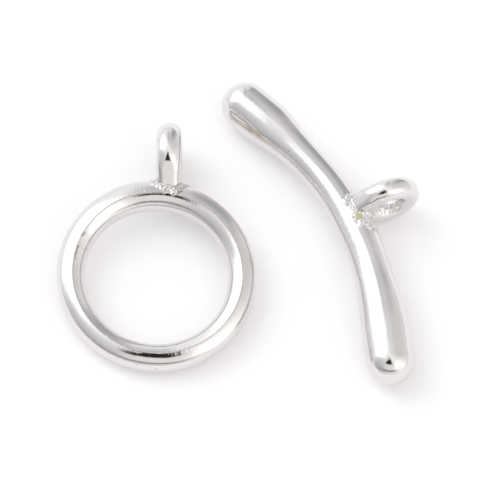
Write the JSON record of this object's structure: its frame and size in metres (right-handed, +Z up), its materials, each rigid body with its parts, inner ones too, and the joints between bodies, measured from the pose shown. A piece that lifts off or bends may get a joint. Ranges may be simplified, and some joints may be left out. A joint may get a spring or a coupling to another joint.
{
  "type": "toggle clasp",
  "caption": "Toggle clasp in two halves: a round ring with an eye, and a bowed bar with thick rounded ends and an eye, which turns lengthwise to pass through the ring.",
  "frame": {"origin": "middle of the floor that both halves cover together, on the surface that they lie on", "axes": "+Z up, +X to the right of the clasp as pictured, +Y away from the viewer"},
  "size_m": [0.0272, 0.0248, 0.0051],
  "materials": {
    "ring_silver": "bright silver plating, polished, with rough solder and a light brown tarnish stain",
    "bar_silver": "bright silver plating, polished, with rough solder and light brown tarnish along the inner side"
  },
  "bodies": {
    "root": {"ring_half": "ring_silver", "bar_half": "bar_silver"}
  },
  "joints": []
}
